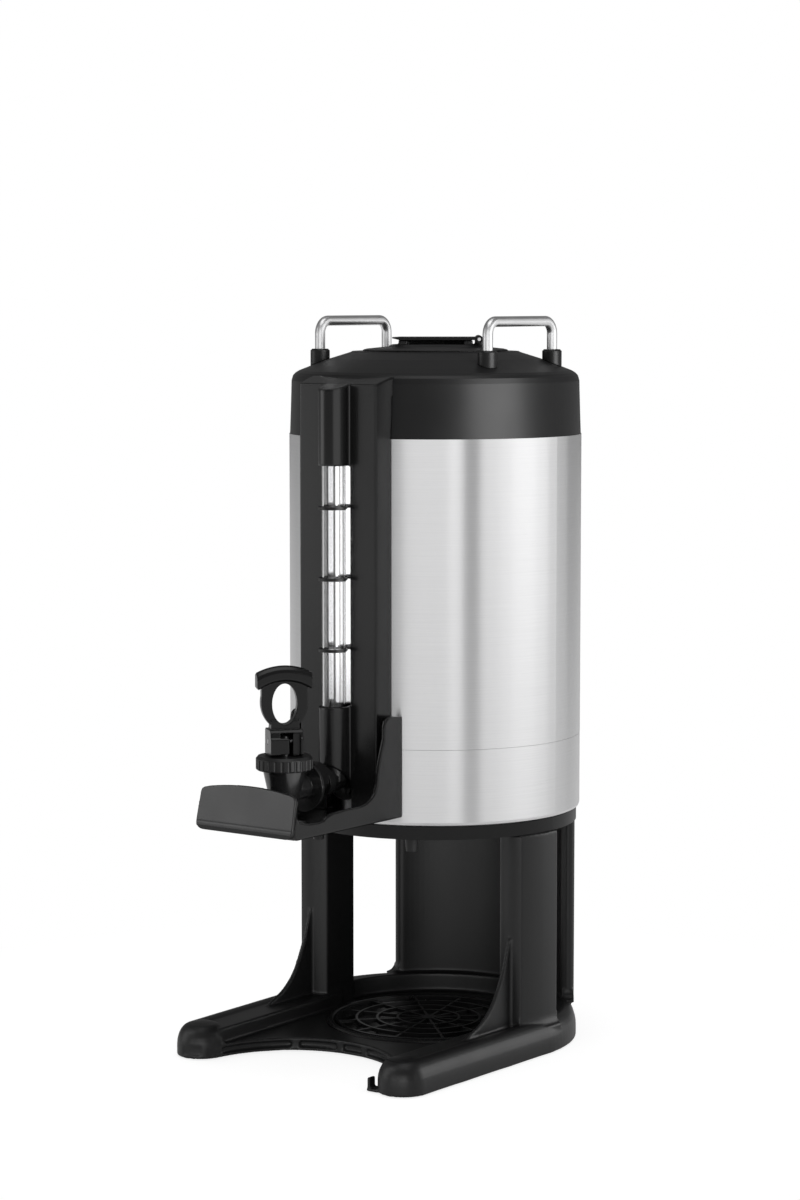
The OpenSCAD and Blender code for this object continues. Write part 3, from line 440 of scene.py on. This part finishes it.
def moulded(name, node_names, voxel, rounds, added=None):
    """One blended moulding made from CAD nodes: remeshed, laid back on their surface, corners rounded."""
    bm = bmesh.new()
    for node in node_names:
        bm.from_mesh(nodes[node].data)
    if added:
        added(bm)
    bmesh.ops.recalc_face_normals(bm, faces=bm.faces)
    joined = bpy.data.meshes.new(name + "_form")
    bm.to_mesh(joined)
    bm.free()
    target = bpy.data.objects.new(name + "_target", joined)
    source = bpy.data.objects.new(name + "_source", joined)
    scene.collection.objects.link(target)
    scene.collection.objects.link(source)
    size = voxel * MM * 1
    mesh = applied(source, name, [
        ("REMESH", {"mode": "VOXEL", "voxel_size": size, "adaptivity": 0.0}),
        ("SHRINKWRAP", {"target": target, "wrap_method": "NEAREST_SURFACEPOINT"}),
        ("SMOOTH", {"factor": 0.5, "iterations": rounds}),
    ])
    for helper in (source, target):
        bpy.data.objects.remove(helper)
    bpy.data.meshes.remove(joined)
    for polygon in mesh.polygons:
        polygon.use_smooth = True
    first = node_names[0]
    piece = add_piece(name, mesh, nodes[first]["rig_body"], slot_of(first))
    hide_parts(*node_names)
    return piece


# Stand

def panel_fillet(bm, side):
    """Flowing corner from an upright edge of the back panel into the sill."""
    rings = []
    for out, height in [(-PANEL_OVERLAP, PANEL_FILLET_R)] + hollow_curve(PANEL_FILLET_R):
        turn = PANEL_TURN - math.degrees(out / PANEL_MIDDLE_R)
        low = LEG_Z - PANEL_SUNK
        high = LEG_Z + height + PANEL_LIFT
        section = [polar(PANEL_INNER_R, turn, low), polar(PANEL_OUTER_R, turn, low),
                   polar(PANEL_OUTER_R, turn, high), polar(PANEL_INNER_R, turn, high)]
        rings.append(on_side(section, side))
    loft(bm, rings)


def post_slope(bm, side):
    """Flowing corner from a post into the round side of the foot."""
    rings = []
    low = LEG_Z - SLOPE_SUNK
    for step in range(SLOPE_TURNS):
        turn = SLOPE_FIRST_TURN + SLOPE_TURN_STEP * step
        slope = [polar(SLOPE_START_R + out, turn, LEG_Z - SLOPE_DROP + SLOPE_STEEPNESS * height)
                 for out, height in hollow_curve(SLOPE_FILLET_R)]
        ring = [polar(SLOPE_INNER_R, turn, low), polar(SLOPE_OUTER_R, turn, low)]
        ring += list(reversed(slope)) + [polar(SLOPE_INNER_R, turn, LEG_Z + SLOPE_LIFT)]
        rings.append(on_side(ring, side))
    loft(bm, rings)


def plug(bm, centre_x, centre_y, radius, ends, count):
    """An upright round plug between two heights, its centre measured from the tank axis."""
    circle = [polar(radius, 360 / count * i, 0) for i in range(count)]
    loft(bm, [[(centre_x + x, centre_y + y, z) for x, y, _ in circle] for z in ends])


def stand_shape(bm):
    """What the stand's CAD nodes lack: fillets, closed toes, a short tab, and legs that draw together."""
    for side in (1, -1):
        panel_fillet(bm, side)
        post_slope(bm, side)
    for side in (-1, 1):
        plug(bm, side * TOE_X, -TOE_Y, TOE_PLUG_R, TOE_PLUG_Z, 40)
        # The wall round the rear screws is too thin for the remesh
        plug(bm, side * SCREW_X, SCREW_Y, SCREW_PLUG_R, SCREW_PLUG_Z, 20)
    for vertex in bm.verts:
        if vertex.co.y < TAB_Y * MM and TAB_X[0] * MM < vertex.co.x < TAB_X[1] * MM:
            vertex.co.x += TAB_SHIFT * MM
        across = abs(vertex.co.x) / MM
        ahead = LEG_ROOT_Y - vertex.co.y / MM
        share = clamped(ahead / LEG_LENGTH) * clamped((across - LEG_INSIDE_X) / LEG_BLEND)
        vertex.co.x -= math.copysign(LEG_DRAWN_IN * MM * share, vertex.co.x)
        vertex.co.y += LEG_DRAWN_BACK * MM * share


# Pieces that keep the mesh of their CAD node

def marker_clips():
    """The marker rings, which stand out further in front of the sight tube."""
    node = nodes["gauge_markers"]
    piece = add_piece("marker_clips", node.data.copy(), node["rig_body"], slot_of("gauge_markers"))
    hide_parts("gauge_markers")
    lowest = min(vertex.co.z for vertex in piece.data.vertices)
    for vertex in piece.data.vertices:
        across = vertex.co.x / MM
        behind = vertex.co.y / MM - AXIS_Y + TUBE_Y
        above = (vertex.co.z - lowest) / MM % MARKER_STEP
        radius = math.hypot(across, behind)
        share = clamped((CLIP_FRONT - behind) / CLIP_BLEND)
        if radius > CLIP_BORE_R:
            grow = 1 + CLIP_GROWTH * share / radius
            vertex.co.x = across * grow * MM
            vertex.co.y = (AXIS_Y - TUBE_Y + behind * grow) * MM
        if above < CLIP_EDGE or above > MARKER_STEP - CLIP_EDGE:
            vertex.co.z -= CLIP_DROP * share * MM


def coil_spring():
    """The return spring inside the bonnet, copied from its CAD node into a piece with a mesh of its own."""
    node = nodes["tap_spring"]
    piece = add_piece("coil_spring", node.data.copy(), node["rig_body"], slot_of("tap_spring"))
    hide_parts("tap_spring")
    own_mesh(piece)


moulded("stand_moulding", ["stand_foot", "post_left", "post_right", "back_panel"],
        voxel=1.25, rounds=3, added=stand_shape)
moulded("cover_moulding", ["gauge_cover"], voxel=0.9, rounds=2)
moulded("guard_moulding", ["tap_guard"], voxel=0.9, rounds=2)
moulded("plate_moulding", ["guard_plate"], voxel=0.6, rounds=2)
moulded("lever_moulding", ["tap_lever"], voxel=0.45, rounds=2)
moulded("lid_moulding", ["lid_body"], voxel=0.8, rounds=1)
moulded("socket_moulding", ["handle_sockets"], voxel=0.5, rounds=2)
marker_clips()
coil_spring()

slot_by_node = {node_name: slot_of(node_name) for node_name in nodes}
for node_name, node_object in nodes.items():
    if not node_object.hide_render:
        finish = OWN_MATERIALS.get(node_name, MATERIALS[slot_by_node[node_name]])
        node_object.material_slots[0].material = finish


# Camera

CAMERA_PLACE = Vector((1436.6, AXIS_Y - 1994.8, 586.8)) * MM
CAMERA_AZIMUTH = math.radians(36.41)
CAMERA_PITCH = math.radians(5.58)
CAMERA_LENS = 93.5
CAMERA_SENSOR = 36
CAMERA_REACH = (0.1, 60)
forward = Vector((-math.sin(CAMERA_AZIMUTH) * math.cos(CAMERA_PITCH),
                  math.cos(CAMERA_AZIMUTH) * math.cos(CAMERA_PITCH), -math.sin(CAMERA_PITCH)))
camera = bpy.data.objects.new("camera", bpy.data.cameras.new("camera"))
scene.collection.objects.link(camera)
camera.data.sensor_fit = "AUTO"
camera.data.sensor_width = CAMERA_SENSOR
camera.data.lens = CAMERA_LENS
camera.location = CAMERA_PLACE
camera.rotation_mode = "QUATERNION"
camera.rotation_quaternion = forward.to_track_quat("-Z", "Y")
camera.data.clip_start, camera.data.clip_end = CAMERA_REACH
scene.camera = camera


# Floor, world and lamps, in metres and as shares of white

FLOOR_R = 9
PAPER_GREY = 0.34
PAPER_GLOW = 0.78
PAPER_FADE = (0.2, 0.5)
STUDIO_WHITE = 1.0
STUDIO_GLOSS = 0.16
STUDIO_SOFT = 0.75
LAMP_DISTANCE = 2.4
LAMP_AIM = Vector((0, AXIS_Y * MM, 0.3))
PANEL_HEIGHT = 3.2

BLACK = ("black_satin", "black_gloss", "black_rubber")
METAL = ("brushed_steel", "bright_steel", "reflector", "clear_tube", "screw_steel", "flask_steel")
TUBE = ("reflector", "clear_tube", "bright_steel")
STAND = ("stand_moulding",)
TAP_SIDE = ("guard_moulding", "lever_moulding")
# Tall panels round the right side, which the metal mirrors: from and to in degrees, and brightness
PANELS = ((3, 11, 0.3), (11, 46, 0.78), (46, 57, 1.08), (70, 86, 0.88), (86, 97, 1.05), (97, 120, 1.25),
          (120, 133, 1.02), (133, 146, 0.62), (146, 160, 0.25))


def floor():
    """White paper for the camera, keeping a soft shadow round the foot; plain pale paper for other rays."""
    bm = bmesh.new()
    bmesh.ops.create_circle(bm, cap_ends=True, segments=96, radius=FLOOR_R)
    mesh = bpy.data.meshes.new("floor")
    bm.to_mesh(mesh)
    bm.free()
    made = bpy.data.objects.new("floor", mesh)
    scene.collection.objects.link(made)
    material, tree, shader = new_material("floor_paper", (0.8, 0.8, 0.8), roughness=0.9)
    place = object_coordinates(tree)
    bumped(tree, shader, noise(tree, place, 900), strength=0.05, distance=0.0001)
    paper = add_node(tree, "ShaderNodeBsdfDiffuse")
    paper.inputs["Color"].default_value = (PAPER_GREY, PAPER_GREY, PAPER_GREY, 1)
    near = add_node(tree, "ShaderNodeAddShader")
    tree.links.new(paper.outputs["BSDF"], near.inputs[0])
    tree.links.new(glowing(tree, PAPER_GLOW), near.inputs[1])
    distance = add_node(tree, "ShaderNodeVectorMath", operation="LENGTH")
    tree.links.new(place, distance.inputs[0])
    fade = remap(tree, distance.outputs["Value"], *PAPER_FADE, 0.0, 1.0)
    seen = mixed(tree, fade, near.outputs["Shader"], glowing(tree, STUDIO_WHITE))
    rays = add_node(tree, "ShaderNodeLightPath")
    final = mixed(tree, rays.outputs["Is Camera Ray"], shader.outputs["BSDF"], seen)
    output = [node for node in tree.nodes if node.type == "OUTPUT_MATERIAL"][0]
    tree.links.new(final, output.inputs["Surface"])
    made.data.materials.append(material)


def backdrop(tree, level):
    """A white background of one brightness."""
    made = add_node(tree, "ShaderNodeBackground")
    made.inputs["Strength"].default_value = level
    made.inputs["Color"].default_value = (1, 1, 1, 1)
    return made.outputs["Background"]


def studio_world():
    """White for the camera, a dim studio for gloss and clear plastic, soft light elsewhere."""
    world = bpy.data.worlds.new("studio")
    scene.world = world
    world.use_nodes = True
    tree = world.node_tree
    tree.nodes.clear()
    rays = add_node(tree, "ShaderNodeLightPath")
    shiny = calculate(tree, "MAXIMUM", rays.outputs["Is Glossy Ray"], rays.outputs["Is Transmission Ray"])
    light = mixed(tree, shiny, backdrop(tree, STUDIO_SOFT), backdrop(tree, STUDIO_GLOSS))
    final = mixed(tree, rays.outputs["Is Camera Ray"], light, backdrop(tree, STUDIO_WHITE))
    output = add_node(tree, "ShaderNodeOutputWorld")
    tree.links.new(final, output.inputs["Surface"])


def lit_pieces(name, slots, pieces, spared):
    """A collection of the pieces in some slots, narrowed to the named ones if any, without the spared."""
    lit = bpy.data.collections.new(name)
    for piece in scene.collection.all_objects:
        if piece.type != "MESH" or piece.hide_render:
            continue
        finish = slot_by_node.get(piece.name, piece.get("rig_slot", ""))
        if finish in slots and (not pieces or piece.name in pieces) and piece.name not in spared:
            lit.objects.link(piece)
    return lit


def lamp(name, azimuth, elevation, width, height, level, slots=(), pieces=(), spared=(),
         distance=LAMP_DISTANCE):
    """A soft rectangular lamp of even brightness; with slots it lights only some pieces."""
    data = bpy.data.lights.new(name, "AREA")
    data.shape = "RECTANGLE"
    data.size = width
    data.size_y = height
    data.energy = level * math.pi * width * height
    made = bpy.data.objects.new(name, data)
    scene.collection.objects.link(made)
    turn = math.radians(azimuth)
    rise = math.radians(elevation)
    back = Vector((math.sin(turn) * math.cos(rise), -math.cos(turn) * math.cos(rise), math.sin(rise)))
    made.location = LAMP_AIM + back * distance
    made.rotation_mode = "QUATERNION"
    made.rotation_quaternion = back.to_track_quat("Z", "Y")
    if slots:
        made.light_linking.receiver_collection = lit_pieces(name + "_lights", slots, pieces, spared)


floor()
studio_world()
for number, (start, end, level) in enumerate(PANELS):
    reach = 2 * LAMP_DISTANCE * math.tan(math.radians((end - start) / 2))
    lamp("panel_%d" % number, (start + end) / 2, 0, reach, PANEL_HEIGHT, level, METAL)
# Azimuth and elevation in degrees, width and height in metres, and brightness
lamp("right_box", 84, 8, 1.9, 2.2, 6.4, BLACK,
     spared=("cover_moulding", "stand_moulding", "stand_deck", "guard_moulding", "lever_moulding"))
lamp("tap_side", 84, 8, 1.2, 1.6, 1.2, BLACK, TAP_SIDE)
lamp("stand_side", 138, 6, 1.6, 1.6, 2.8, BLACK, STAND)
lamp("stand_line", 90, 4, 0.25, 1.4, 2.6, BLACK, STAND)
lamp("cover_side", 60, 12, 2.4, 2.2, 1.2, BLACK, ("cover_moulding",))
lamp("left_box", -52, 10, 1.3, 2.0, 1.5, BLACK)
lamp("front_box", -4, -4, 0.9, 0.8, 3.2, BLACK, STAND)
lamp("low_box", 32, 0, 1.7, 0.6, 4.5, BLACK, STAND, distance=2.6)
lamp("tube_box", -38, 0, 1.0, 3.2, 1.0, TUBE)
lamp("tap_box", 84, -22, 0.4, 0.2, 4, BLACK, ("tap_body",), distance=0.62)
lamp("plate_box", -34, 22, 1.0, 1.8, 3.6, BLACK, ("plate_moulding",))
lamp("toe_box", -30, 38, 0.5, 0.5, 7, BLACK, STAND)
lamp("top", 40, 75, 1.6, 1.6, 1.2, distance=2.2)
scene.view_settings.view_transform = "Standard"
